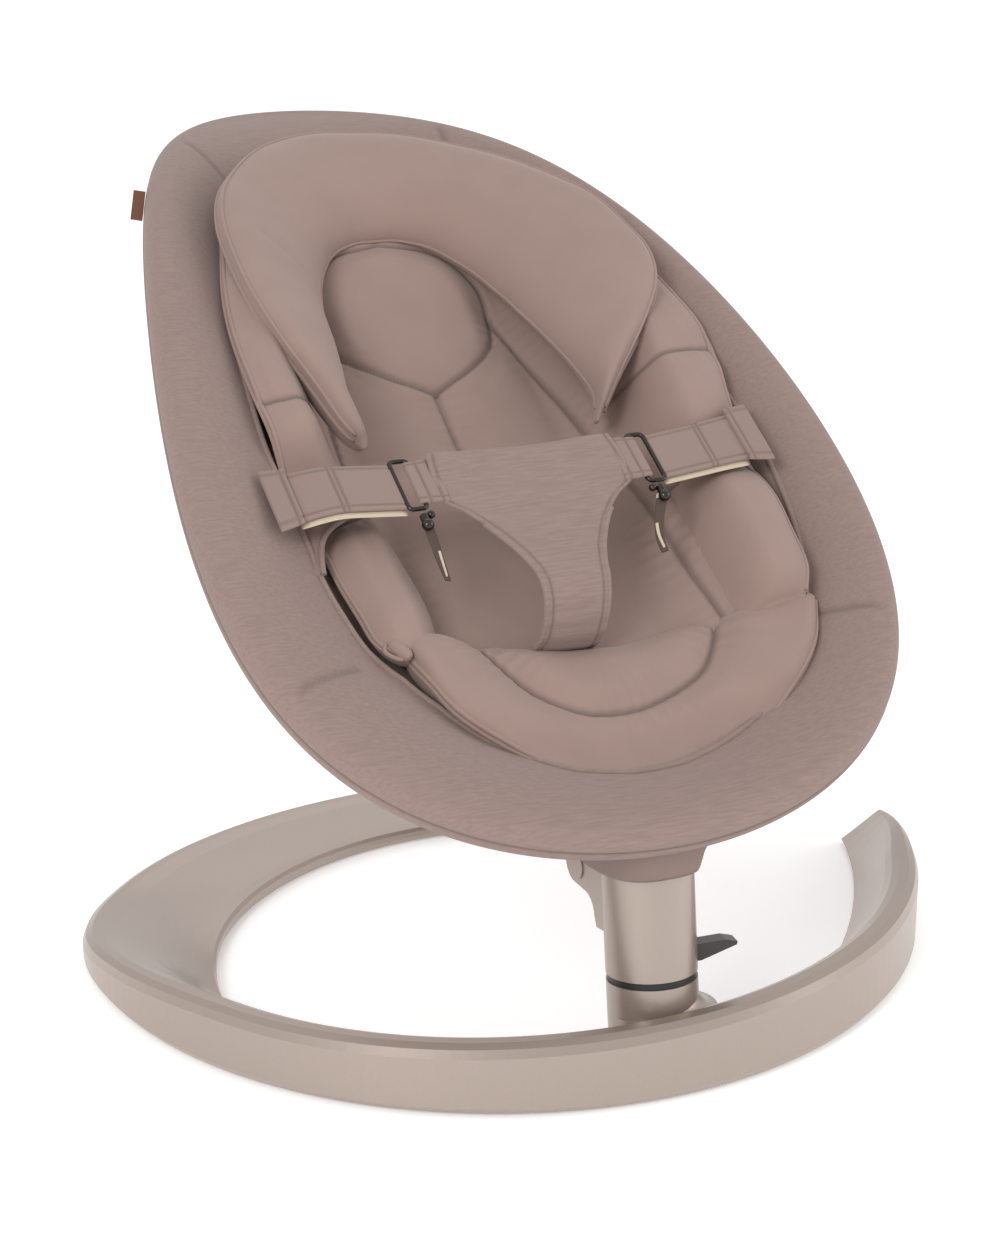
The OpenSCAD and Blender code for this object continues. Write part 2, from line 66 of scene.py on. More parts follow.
def seat_point(x, s, n):
    """Seat plane millimetres to row metres, for numbers or arrays."""
    y = SEAT_Y + s * math.cos(TILT) - n * math.sin(TILT)
    z = SEAT_Z + s * math.sin(TILT) + n * math.cos(TILT)
    return np.stack(np.broadcast_arrays(x, y, z), -1) / 1000.0


def smooth(t):
    """Eases from 0 to 1 as t does, flat at both ends."""
    t = np.clip(t, 0, 1)
    return t * t * (3 - 2 * t)


def rim_n(s):
    """Height of the rim's arched line at s."""
    u = np.asarray(s) / RIM_L
    return -63 * u**2 - 31 * u**3


def rim_edge(t):
    """Outline of the rim at angle t from the head end: x and s."""
    c = np.cos(t)
    half = 193 * np.sqrt(np.maximum(0, 1 - c * c)) * (1 - 0.323 * c + 0.223 * c * c)
    return np.sign(np.sin(t)) * half, RIM_L * c


def tube_line(t):
    """Centre line of the rim's tube, and the outward direction there."""
    x, s = rim_edge(t)
    xa, sa = rim_edge(t + 0.015)
    xb, sb = rim_edge(t - 0.015)
    d = np.stack([-(sa - sb), xa - xb], -1)
    d /= np.linalg.norm(d, axis=-1, keepdims=True)
    return x - TUBE_IN * d[..., 0], s - TUBE_IN * d[..., 1], d


CENTRE_S = -20.0


def dish(x, s):
    """Height of the seat fabric at x, s: a band that slopes in from the rim, then the well."""
    x, s = np.broadcast_arrays(np.asarray(x, float), np.asarray(s, float))
    t = np.arctan2(x / 190, (s - CENTRE_S) / 345)
    for _ in range(6):
        ex, es, _d = tube_line(t)
        t = t + np.arctan2(x * (es - CENTRE_S) - (s - CENTRE_S) * ex, x * ex + (s - CENTRE_S) * (es - CENTRE_S))
    ex, es, _d = tube_line(t)
    rho = np.hypot(x, s - CENTRE_S) / np.hypot(ex, es - CENTRE_S)
    return rim_n(s) - drop(rho, t)


OPENING = np.array([(-180, 846), (-172, 828), (-167, 806), (-159, 776), (-152, 738), (-145, 720), (-137, 720),
                    (-130, 706), (-123, 700), (-117, 692), (-108, 702), (-97, 735), (-91, 748), (-79, 778), (-70, 790),
                    (-57, 800), (-30, 790), (0, 785), (30, 800), (65, 828), (88, 842), (100, 840), (134, 838),
                    (158, 842), (173, 850), (180, 846)])


def opening(t):
    """Where the opening's piped edge lies between the middle, 0, and the tube, 1, at angle t."""
    return np.interp(np.degrees(np.arctan2(np.sin(t), np.cos(t))), OPENING[:, 0], OPENING[:, 1] / 1000)


def drop(rho, t):
    """How far the seat fabric lies below the rim's line at rho and t: the sloping band, then the well."""
    front = smooth((-np.cos(t) - 0.25) / 0.7)
    head = smooth((np.cos(t) - 0.3) / 0.6)
    band = 15 + 10 * front - 3 * head
    edge = opening(t)
    inner = smooth((edge - rho) / (0.5 + 0.15 * head))
    step = 9 * smooth((edge - 0.004 - rho) / 0.035)
    return np.clip((1 - rho) / (1 - edge), 0, 1) ** 1.15 * band + (90 - band - 9) * inner + step


# ---- meshes ----


def make_object(name, points, faces):
    """A smooth-shaded mesh that rides with the seat."""
    mesh = bpy.data.meshes.new(name)
    mesh.from_pydata([tuple(p) for p in points], [], faces)
    mesh.validate()
    mesh.update()
    mesh.polygons.foreach_set("use_smooth", [True] * len(mesh.polygons))
    obj = bpy.data.objects.new(name, mesh)
    bpy.context.scene.collection.objects.link(obj)
    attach(obj, "seat_body")
    return obj


def skin(name, rings, loop=False):
    """One closed solid through rings of points, each an (m, 3) row."""
    n, m = rings.shape[:2]
    faces = []
    for i in range(n if loop else n - 1):
        a, b = i * m, ((i + 1) % n) * m
        faces += [(a + j, a + (j + 1) % m, b + (j + 1) % m, b + j) for j in range(m)]
    if not loop:
        for j in range(m // 2 - 1):
            quad = (j, j + 1, m - 2 - j, m - 1 - j)
            faces.append(quad[::-1])
            faces.append(tuple((n - 1) * m + k for k in quad))
    obj = make_object(name, rings.reshape(-1, 3), faces)
    outward(obj)
    return obj


def outward(obj):
    """Turns the faces outward."""
    mesh = obj.data
    volume = 0.0
    for p in mesh.polygons:
        v = [mesh.vertices[i].co for i in p.vertices]
        for k in range(1, len(v) - 1):
            volume += v[0].dot(v[k].cross(v[k + 1]))
    if volume < 0:
        mesh.flip_normals()


def paint_seam_shade(obj, values):
    """Marks how much each vertex lies in a seam, for its finish to darken it as painted shade in the seam's crease."""
    layer = obj.data.attributes.new("seam", "FLOAT", "POINT")
    values = np.asarray(values, np.float32).ravel()
    full = np.zeros(len(obj.data.vertices), np.float32)
    full[: len(values)] = values
    layer.data.foreach_set("value", full)


def cord_along(name, path, r, loop=False):
    """A round cord, such as piping, along an (n, 3) path in metres."""
    path = np.asarray(path)
    if loop:
        d = np.roll(path, -1, 0) - np.roll(path, 1, 0)
    else:
        d = np.gradient(path, axis=0)
    d /= np.linalg.norm(d, axis=1, keepdims=True)
    ref = np.array([0.0, -math.sin(TILT), math.cos(TILT)])
    side = np.cross(d, ref)
    side /= np.linalg.norm(side, axis=1, keepdims=True)
    up = np.cross(side, d)
    a = np.linspace(0, 2 * math.pi, 10, endpoint=False)
    ring = side[:, None] * np.cos(a)[None, :, None] + up[:, None] * np.sin(a)[None, :, None]
    return skin(name, path[:, None] + r * ring, loop)


def wave(x, s, seed, size):
    """Soft pseudo-random waves over the seat plane, between -1 and 1."""
    rng = np.random.default_rng(seed)
    total = 0.0
    for _ in range(7):
        a, k, p = rng.uniform(0, 2 * math.pi), rng.uniform(0.6, 1.6) / size, rng.uniform(0, 6.3)
        total = total + np.sin((x * math.cos(a) + s * math.sin(a)) * k * 6.28 + p)
    return total / 4.0


def near(x, s, line, width):
    """1 on a polyline of (x, s) points and falling to 0 away from it."""
    best = np.full(np.shape(x), 1e9)
    for (ax, ay), (bx, by) in zip(line[:-1], line[1:]):
        dx, dy = bx - ax, by - ay
        u = np.clip(((x - ax) * dx + (s - ay) * dy) / (dx * dx + dy * dy), 0, 1)
        best = np.minimum(best, np.hypot(x - ax - u * dx, s - ay - u * dy))
    return np.exp(-((best / width) ** 2))


def spline(points, n=60):
    """A smooth line through a few points."""
    p = np.asarray(points, float)
    p = np.vstack([2 * p[0] - p[1], p, 2 * p[-1] - p[-2]])
    out = []
    for i in range(1, len(p) - 2):
        for u in np.linspace(0, 1, max(2, n // (len(p) - 3)), endpoint=False):
            a, b, c, d = p[i - 1], p[i], p[i + 1], p[i + 2]
            square, cube = 2 * a - 5 * b + 4 * c - d, 3 * b - a - 3 * c + d
            out.append(0.5 * (2 * b + (c - a) * u + square * u**2 + cube * u**3))
    out.append(p[-2])
    return np.array(out)


# ---- seat fabric: the band over the rim's tube and the well inside it ----


def seat_fabric():
    """The knit skin: round the tube, over the band, through the opening's piped edge and down into the well."""
    t = np.linspace(0, 2 * math.pi, 720, endpoint=False)
    ex, es, d = tube_line(t)
    # seam gathers where the fabric is painted darker: painted shade in the crease round the tube and in the band's
    # seams.
    rings, seam = [], []
    for a in np.linspace(-125, 78, 50):
        k = COVER_R - 0.9 * math.exp(-(((a - 4) / 6) ** 2))
        c, q = math.cos(math.radians(a)), math.sin(math.radians(a))
        rings.append((ex + k * c * d[:, 0], es + k * c * d[:, 1], rim_n(es) + k * q))
        seam.append(np.full(t.shape, math.exp(-(((a - 4) / 4) ** 2))))
    edge = opening(t)
    for k in np.linspace(0, 1, 34):
        rho = 0.975 + (edge - 0.975) * k
        rings.append(fabric_row(t, ex, es, rho))
        seam.append(band_seams(*rings[-1][:2]) ** 2 * 0.6)
    for k in np.concatenate([np.linspace(0.012, 0.06, 5), np.linspace(0.1, 0.96, 14)]):
        rho = edge * (1 - k)
        rings.append(fabric_row(t, ex, es, rho))
        seam.append(np.zeros(t.shape))
    top = np.array([seat_point(*p) for p in rings])
    under = []
    for rho in np.concatenate([np.linspace(0.04, 0.70, 12), np.linspace(0.73, 0.93, 12)]):
        x, s, n = fabric_row(t, ex, es, np.full(t.shape, rho))
        under.append(seat_point(x, s, n - 2.6))
    for a in np.radians(np.linspace(140, 226, 8)):
        q = TUBE_R + 0.4
        under.append(seat_point(ex + q * np.cos(a) * d[:, 0], es + q * np.cos(a) * d[:, 1], rim_n(es) + q * np.sin(a)))
    loop = np.concatenate([top, np.array(under)])
    obj = skin("seat_fabric", np.swapaxes(loop, 0, 1), loop=True)
    lines = np.zeros(loop.shape[:2])
    lines[: len(seam)] = np.array(seam)
    paint_seam_shade(obj, lines.T)
    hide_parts("rim_cover", "sling")
    x, s, n = fabric_row(t, ex, es, edge)
    cord_along("opening_piping", seat_point(x, s, n + 0.4), 0.0018, loop=True)


def fabric_row(t, ex, es, rho):
    """One line round the seat fabric, at rho of the way from the middle to the tube."""
    x, s = ex * rho, CENTRE_S + (es - CENTRE_S) * rho
    lift = (TUBE_R + 3.2) * smooth((rho - 0.6) / 0.36)
    near_band = smooth((rho - 0.62) / 0.2)
    h = 0.5 * wave(x, s, 3, 90) - 1.5 * band_seams(x, s)
    return x, s, rim_n(s) - drop(rho, t) + lift + h * near_band


BAND_SEAMS = [[(96, 300), (72, 196)], [(-96, 300), (-72, 196)],
              [(200, -238), (134, -204)], [(-200, -238), (-134, -204)]]


def band_seams(x, s):
    """1 on the four seams that cross the band, and 0 away from them."""
    return np.clip(sum(near(x, s, k, 3.0) for k in BAND_SEAMS), 0, 1)


BOW_S = 62


def under_cover():
    """The fabric shell below the seat, from the tube round the frame and down to the column."""
    t = np.linspace(0, 2 * math.pi, 200, endpoint=False)
    ex, es, d = tube_line(t)
    head = smooth((np.cos(t) + 0.1) / 0.9)
    front = smooth((-np.cos(t) - 0.3) / 0.6)
    outer, inner = [], []
    r = COVER_R + 0.5
    for a in np.radians(np.linspace(-62, -118, 6)):
        outer.append(seat_point(ex + r * np.cos(a) * d[:, 0], es + r * np.cos(a) * d[:, 1],
                                rim_n(es) + r * np.sin(a)))
    for rho in np.linspace(0.965, 0.03, 44):
        p = 2.4 - 1.05 * head + 0.9 * front
        x, s = ex * rho, CENTRE_S - 25 + (es - CENTRE_S + 25) * rho
        n = rim_n(s) - 12 - (80 + 6 * front) * (1 - rho**p) + 0.6 * wave(x, s, 8, 110)
        # The cover is stretched over the cross bow.
        bow = rim_n(BOW_S) - 14 - 90 * (1 - np.minimum(1, np.abs(x) / 160) ** 2.4) + 0.018 * (s - BOW_S) ** 2
        n = -3.0 * np.logaddexp(-n / 3.0, -bow / 3.0)
        outer.append(seat_point(x, s, n))
        inner.append(seat_point(x * 0.994, s, n + 2.2))
    rings = np.array(outer + inner[::-1])
    obj = skin("under_cover_fabric", np.swapaxes(rings, 0, 1), loop=True)
    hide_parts("under_cover")


# ---- padded insert ----


def pad(name, left, right, low, high, nu=56, nv=90, power=2.6, ends=8.0, relief=None, skirt=0.35, seams=()):
    """A stuffed piece between two side lines. low and high give its rest surfaces' heights.
    It returns the piece and its upper surface as (along, across, 3) points."""
    v = np.linspace(0, 1, nv)
    a = np.array([left(k) for k in v])
    b = np.array([right(k) for k in v])
    u = (1 - np.cos(np.linspace(0, math.pi, nu))) / 2
    x = a[:, :1] * (1 - u) + b[:, :1] * u
    s = a[:, 1:] * (1 - u) + b[:, 1:] * u
    round_u = (1 - np.abs(2 * u - 1) ** power)[None, :]
    round_v = (1 - np.abs(2 * v - 1) ** ends)[:, None]
    puff = np.sqrt(np.maximum(0, round_u * round_v))
    bottom, top = low(x, s), high(x, s)
    middle = bottom + (top - bottom) * skirt
    upper = middle + (top - middle) * puff
    if relief is not None:
        upper = upper + relief(x, s) * np.minimum(1, puff * 2)
    lower = middle + (bottom - middle) * puff
    surface = seat_point(x, s, upper)
    obj = skin(name, np.concatenate([surface, seat_point(x, s, lower)[:, ::-1]], axis=1))
    # The seam lines are painted darker: painted shade in their creases.
    if seams:
        dark = np.clip(sum(near(x, s, k, 1.5) for k in seams), 0, 1)
        paint_seam_shade(obj, np.concatenate([dark, 0 * dark], axis=1))
    return obj, surface


def pucker(x, s, line, reach=14.0, depth=0.9, pitch=9.0):
    """Small gathers that run out from a seam."""
    best, along, start = np.full(np.shape(x), 1e9), np.zeros(np.shape(x)), 0.0
    for (ax, ay), (bx, by) in zip(line[:-1], line[1:]):
        dx, dy = bx - ax, by - ay
        size = math.hypot(dx, dy)
        u = np.clip(((x - ax) * dx + (s - ay) * dy) / (size * size), 0, 1)
        d = np.hypot(x - ax - u * dx, s - ay - u * dy)
        along = np.where(d < best, start + u * size, along)
        best = np.minimum(best, d)
        start += size
    ripple = np.sin(along / pitch * 6.28 + 1.7 * np.sin(along / 23.0)) * np.sin(along / 31.0 + 1)
    return depth * ripple * (best / 4) * np.exp(-2 * best / reach)


def line_at(points, n=60):
    """A smooth line through the points, as a function of the share of its length."""
    p = spline(points, n)
    k = np.concatenate([[0], np.cumsum(np.linalg.norm(np.diff(p, axis=0), axis=1))])
    k /= k[-1]
    return lambda v: np.array([np.interp(v, k, p[:, 0]), np.interp(v, k, p[:, 1])])


def insert_top(x, s):
    """Height of the insert's padded inside, before its seams and pillows."""
    centre = np.interp(s, [-290, -251, -196, -120, -36, 18, 80, 139, 200],
                       [-56, -50, -46, -50, -54, -50, -46, -33, -12])
    wall = smooth((np.abs(x) - 64) / 54)
    return centre + (rim_n(s) + 2 - centre) * wall * 0.86


OVAL_SIDE = spline([(0, 151), (34, 142), (55, 114), (58, 88), (50, 62), (28, 41), (0, 26)], 48)
OVAL = np.vstack([OVAL_SIDE, OVAL_SIDE[-2::-1] * [-1, 1]])
LINER_SEAMS = [[(0, 26), (0, -90)], spline([(58, 88), (72, 30), (82, -30), (90, -100), (92, -150), (98, -205)], 30),
               spline([(-58, 88), (-72, 30), (-80, -30), (-76, -100), (-72, -150), (-78, -205)], 30)]


def back_panels():
    """The liner the child lies on: seat and back panels, with the oval panel sewn into it."""

    def h(x, s):
        out = 0.6 * wave(x, s, 5, 60)
        for k in LINER_SEAMS:
            out = out - 2.6 * near(x, s, k, 1.8) - 3.2 * near(x, s, k, 13) + pucker(x, s, k)
        inside = smooth((1.0 - np.hypot(x / 58, (s - 82) / 70)) / 0.3)
        return out - 2.6 * near(x, s, OVAL, 1.8) - 2.2 * near(x, s, OVAL, 9) + 4.5 * inside

    obj, _ = pad("insert_liner", line_at([(-70, -226), (-90, -190), (-96, -140), (-94, -60), (-90, 40), (-86, 165)]),
                 line_at([(112, -226), (112, -140), (104, -60), (94, 40), (88, 165)]),
                 lambda x, s: dish(x, s) + 3, insert_top, nu=150, nv=300, power=8, ends=12, relief=h,
                 seams=LINER_SEAMS + [OVAL])
    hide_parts("back_pad", "head_pad")


def piping(name, path, r=1.4):
    """Piping in the insert's fabric, r millimetres thick."""
    obj = cord_along(name, path, r / 1000.0)


def bolster(sign):
    """One side's long padded wing, which two seams divide."""
    side = "right" if sign > 0 else "left"
    if sign > 0:
        left = line_at([(100, -205), (95, -185), (92, -150), (92, -108), (84, -60), (80, 60), (88, 150)])
        right = line_at([(142, -204), (150, -184), (152, -146), (152, -100), (154, -55), (159, -5), (153, 40),
                         (142, 86), (124, 150)])
    else:
        left = line_at([(-86, -200), (-76, -180), (-72, -150), (-76, -106), (-80, -60), (-80, 60), (-84, 140)])
        right = line_at([(-106, -199), (-115, -186), (-118, -164), (-122, -139), (-125, -112), (-134, -60),
                         (-137, -12), (-135, 40), (-127, 84), (-110, 140)])
    seam = spline([(sign * 76, -6), (sign * 112, -20), (sign * 160, -16)], 12)
    low_seam = spline([(sign * 76, -84), (sign * 112, -96), (sign * 160, -92)], 12)

    def high(x, s):
        w = smooth((np.abs(x) - 78) / (46 if sign > 0 else 38))
        if sign > 0:
            return rim_n(s) - 52 + (66 - 13 * np.exp(-(((s + 96) / 30) ** 2))) * w
        thigh = -31 + 13 * smooth((-x - 74) / 20) - 7 * smooth((-x - 104) / 18)
        return thigh + (rim_n(s) - 46 + 54 * w - thigh) * smooth((s + 82) / 46)

    def h(x, s):
        out = 0.8 * wave(x, s, 20 + sign, 55)
        out = out - 3.5 * near(x, s, low_seam, 2.2) - 7 * near(x, s, low_seam, 14)
        out = out + pucker(x, s, low_seam) + pucker(x, s, seam)
        return out - 2 * near(x, s, seam, 1.8) - 2.4 * near(x, s, seam, 12)

    obj, top = pad("bolster_pad_" + side, left, right, lambda x, s: dish(x, s) + 3, high, nu=64, nv=260,
                   relief=h, power=3.2, ends=14, skirt=0.55, seams=[seam, low_seam])
    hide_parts("bolster_" + side)
    piping("bolster_piping_" + side, top[2:-2, -1] + (top[2:-2, -1] - top[2:-2, -4]) * 0.02)
    piping("bolster_edge_" + side, top[2:-2, -7])


PILLOW_OUT = [(-80, -50), (-92, -38), (-103, -4), (-114, 30), (-119, 62), (-119, 100), (-115, 138), (-101, 178),
              (-76, 214), (-48, 239), (-18, 251), (16, 250), (54, 234), (90, 200), (118, 160), (135, 122), (142, 86),
              (144, 58), (136, 30), (116, 2), (94, -22), (74, -46)]
PILLOW_IN = [(-76, -46), (-79, -20), (-73, 8), (-68, 34), (-65, 56), (-60, 84), (-50, 114), (-34, 140), (-16, 152),
             (0, 154), (16, 152), (34, 140), (50, 114), (60, 84), (66, 56), (71, 30), (76, 0), (78, -26), (72, -44)]


def pillow_base(x, s):
    """The dished surface that the head pillow lies on."""
    q = np.where(s > 60, np.hypot(x / 140, (s - 60) / 205), np.abs(x) / 140)
    return rim_n(s) - 40 + 40 * np.clip((q - 0.42) / 0.55, 0, 1)


def head_pillow():
    """The horseshoe pillow round the oval panel, with its dart on the left."""
    dart = [(-66, 96), (-92, 118)]

    def h(x, s):
        return 0.9 * wave(x, s, 31, 70) - 1.5 * near(x, s, dart, 3.5)

    obj, top = pad("head_pillow_pad", line_at(PILLOW_IN, 180), line_at(PILLOW_OUT, 180), pillow_base,
                   lambda x, s: pillow_base(x, s) + 36, nu=56, nv=220, power=2.6, ends=16, relief=h, skirt=0.45)
    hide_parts("head_pillow")
    piping("pillow_piping", top[2:-2, -1])
    piping("pillow_edge", top[2:-2, -8])
    piping("pillow_inner", top[4:-4, 0], 1.1)


def front_pad():
    """The crescent pad at the front of the opening, with its curved seam."""
    inner = line_at([(-101, -186), (-76, -181), (-45, -186), (-16, -190), (28, -193), (75, -191), (108, -191),
                     (148, -197)], 80)
    outer = line_at([(-102, -190), (-98, -208), (-87, -240), (-62, -264), (-31, -281), (2, -290), (40, -292),
                     (88, -275), (132, -239), (151, -202)], 80)
    seam = spline([(-58, -185), (-48, -211), (-33, -232), (-13, -245), (10, -249), (36, -245), (67, -232), (85, -210),
                   (93, -190)], 40)

    def high(x, s):
        return -35 + 22 * (np.abs(x - 18) / 130) ** 2 - 10 * smooth((-246 - s) / 36)

    def h(x, s):
        out = 0.7 * wave(x, s, 41, 50) + pucker(x, s, seam)
        return out - 2.8 * near(x, s, seam, 1.8) - 5.0 * near(x, s, seam, 11)

    obj, top = pad("front_pad_stuffed", inner, outer, lambda x, s: dish(x, s) + 3, high, nu=110, nv=220,
                   relief=h, power=4.0, ends=12, skirt=0.45, seams=[seam])
    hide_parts("front_pad")
    piping("front_piping", top[2:-2, -1])
    piping("front_edge", top[2:-2, -9])


# ---- harness ----

HARNESS_N = float(rim_n(-102.0)) + 10.6


def flat_piece(name, line_low, line_high, height, thick=3.2, nu=30, nv=60, edge=0.6, across=()):
    """A flat sewn piece between two lines of (x, s), laid at height(x, s). Its hem is stitched edge deep,
    and so are the rows that cross it at the distances in across."""
    v = np.linspace(0, 1, nv)
    a, b = np.array([line_low(k) for k in v]), np.array([line_high(k) for k in v])
    u = (1 - np.cos(np.linspace(0, math.pi, nu))) / 2
    x = a[:, :1] * (1 - u) + b[:, :1] * u
    s = a[:, 1:] * (1 - u) + b[:, 1:] * u
    round_u = np.maximum(0, 1 - np.abs(2 * u - 1) ** 14)[None, :] ** 0.5
    round_v = np.maximum(0, 1 - np.abs(2 * v - 1) ** 30)[:, None] ** 0.5
    n = height(x, s)
    half = thick / 2 * round_u * round_v
    groove = (np.exp(-(((u - 0.09) / 0.02) ** 2)) + np.exp(-(((u - 0.91) / 0.02) ** 2)))[None, :] * (edge > 0)
    for k in across:
        groove = np.maximum(groove, np.exp(-(((np.abs(x) - k) / 0.9) ** 2)))
    top = seat_point(x, s, n + half - edge * groove * (half > 0.4))
    obj = skin(name, np.concatenate([top, seat_point(x, s, n - half)[:, ::-1]], axis=1))
    # The stitched grooves are painted darker: painted shade in the grooves.
    paint_seam_shade(obj, np.concatenate([0.7 * groove + 0 * x, 0 * x], axis=1))
    return obj


def belt_n(x, s):
    """Height of the harness belt: level across the middle and bending down over the bolsters."""
    return HARNESS_N - 2 - np.where(x > 0, 2, 10) * smooth((np.abs(x) - 114) / 44) + 0 * s


# Rows of the panel from its top edge down its stem: s, height over the harness, half width and offset across.
PANEL_ROWS = [(-83, 0.4, 58, 0), (-94, 0.2, 60, 0), (-104, -0.6, 60.5, 0), (-114, -2.2, 60.5, 0), (-119, -3, 60, 0),
              (-121.5, -3.4, 55, 0), (-124.5, -3.8, 50, 0), (-130, -4.2, 44.5, 0), (-138, -4.8, 37.5, 0),
              (-148, -5.4, 31.5, 0), (-160, -5.6, 25.6, 0), (-172, -5.8, 21.4, 0), (-182, -7, 20, -0.4),
              (-190, -13, 19.4, -1), (-196, -22, 19, -2), (-199, -33, 19, -3), (-197.5, -44, 20, -4),
              (-192, -54, 21, -5), (-184, -60, 22, -5)]


def crotch_panel():
    """The T-shaped panel: level between the buckles, with a stem that turns down behind the front pad."""
    rows = np.array(PANEL_ROWS)
    k = np.concatenate([[0], np.cumsum(np.hypot(np.diff(rows[:, 0]), np.diff(rows[:, 1])))])
    v = np.linspace(0, k[-1], 120)
    s, n, wide, off = (np.interp(v, k, c) for c in rows.T)
    for _ in range(3):
        s[1:-1] = (s[:-2] + 2 * s[1:-1] + s[2:]) / 4
        n[1:-1] = (n[:-2] + 2 * n[1:-1] + n[2:]) / 4
        wide[2:-1] = (wide[1:-2] + 2 * wide[2:-1] + wide[3:]) / 4
    ds, dn = np.gradient(s), np.gradient(n)
    size = np.hypot(ds, dn)
    ns, nn = dn / size, -ds / size
    u = (1 - np.cos(np.linspace(0, math.pi, 46))) / 2 * 2 - 1
    x = off[:, None] + wide[:, None] * u[None, :]
    s2 = s[:, None] + 0 * x
    n2 = HARNESS_N + n[:, None] + 3.4 * (x / 60) ** 2 + 0.5 * wave(x, s2, 51, 46)
    round_u = np.maximum(0, 1 - np.abs(u) ** 14)[None, :] ** 0.5
    hem = np.exp(-(((wide[:, None] - np.abs(x - off[:, None]) - 3.6) / 0.8) ** 2))
    half = 2.2 * round_u - 0.7 * hem
    top = seat_point(x, s2 + ns[:, None] * half, n2 + nn[:, None] * half)
    low = seat_point(x, s2 - 1.6 * ns[:, None] * round_u, n2 - 1.6 * nn[:, None] * round_u)
    lay = skin("crotch_panel_fabric", np.concatenate([top, low[:, ::-1]], axis=1))
    # The hem's stitched groove is painted darker: painted shade in the groove.
    paint_seam_shade(lay, np.concatenate([0.7 * hem, 0 * hem], axis=1))
    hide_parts("crotch_panel")
    cord_along("crotch_piping_left", top[38:, 1], 0.0017)
    cord_along("crotch_piping_right", top[38:, -2], 0.0017)


def belt_side(sign):
    """One side's strap, its cream under layer, and the short tongue from the panel to the buckle."""
    side = "right" if sign > 0 else "left"
    lift = 3.0 * (sign > 0)
    top = [(sign * 81, -85), (sign * 114, -81 + lift * 0.3), (sign * 141, -77 + lift)]
    low = [(sign * 81, -120), (sign * 114, -116.5 + lift * 0.3), (sign * 141, -114.5 + lift)]
    end = sign * (155 + sign)
    strap = flat_piece("strap_fabric_" + side, line_at(low + [(sign * 150, -115 + lift)]),
                       line_at(top + [(sign * 150, -75 + lift)]), lambda x, s: belt_n(x, s) + 2.2, 3.4,
                       nu=40, nv=150, across=(114.5, 117.5))
    tab = flat_piece("strap_end_" + side, line_at([(sign * 140, -117 + lift), (end, -118.5 + lift)]),
                     line_at([(sign * 140, -74 + lift), (end, -71 + lift)]),
                     lambda x, s: belt_n(x, s) + 4.4, 3.2, nu=30, nv=40, across=(143,))
    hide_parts("strap_" + side)
    under = flat_piece("strap_under_" + side, line_at([(x, s - 2.2) for x, s in low]),
                       line_at([(x, s - 3) for x, s in top]), lambda x, s: belt_n(x, s) - 0.9, 2.2,
                       nu=24, nv=50, edge=0)
    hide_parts("strap_tab_" + side)
    tongue = flat_piece("belt_tongue_" + side, line_at([(sign * 55, -119), (sign * 73, -118)]),
                        line_at([(sign * 55, -85), (sign * 73, -86)]),
                        lambda x, s: HARNESS_N + 1.8 + 0 * x, 3.4, nu=40, nv=60, across=(59, 66.5))


def strap_wing():
    """The corner of the seat fabric that runs in over the left bolster to carry the strap."""
    edge = [(-82, -104), (-96, -102.5), (-109, -103), (-118, -106), (-124.5, -112), (-129, -122), (-132, -136)]

    def height(x, _s):
        w = smooth((np.abs(x) - 84) / 48)
        return -7 - 13 * w - 4 * smooth((np.abs(x) - 126) / 14)

    back = [(-82, -88), (-110, -84), (-136, -82), (-146, -96), (-147, -134)]
    wing = flat_piece("strap_wing_left", line_at(edge), line_at(back), height, 2.4, nu=30, nv=60, edge=0)
    p = spline(edge, 60)
    cord_along("strap_wing_piping", seat_point(p[:, 0], p[:, 1], height(p[:, 0], p[:, 1]) + 0.6), 0.0018)


def toggles():
    """The pill-shaped toggle and its loop at the left corner of the front pad, and the folded tab at the right."""
    n = -27.0
    a = np.linspace(0, math.pi, 15)
    pill = np.array([seat_point(-106 - 7.5 * np.cos(k) * 0.54, -195 + 7.5 * np.cos(k) * 0.84, n + 2) for k in a])
    radius = 4.0 * np.maximum(0.12, np.sin(a)) ** 0.5
    ref = np.array([0.0, 0.0, 1.0])
    d = (pill[-1] - pill[0]) / np.linalg.norm(pill[-1] - pill[0])
    side = np.cross(d, ref)
    side /= np.linalg.norm(side)
    up = np.cross(side, d)
    g = np.linspace(0, 2 * math.pi, 20, endpoint=False)
    ring = side[None] * np.cos(g)[:, None] + up[None] * np.sin(g)[:, None]
    toggle = skin("toggle_left", pill[:, None] + radius[:, None, None] / 1000 * ring[None])
    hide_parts("insert_loops")
    loop = spline([(-112, -188), (-114, -194), (-108, -200), (-102, -198), (-99, -190)], 40)
    piping("toggle_loop", seat_point(loop[:, 0], loop[:, 1], n + 1 + 0 * loop[:, 0]), 1.3)
    fold = flat_piece("folded_tab_right", line_at([(136, -208), (147, -205)]), line_at([(132, -199), (144, -196)]),
                      lambda x, s: n + 3 + 0 * x, 3.0, nu=20, nv=24)


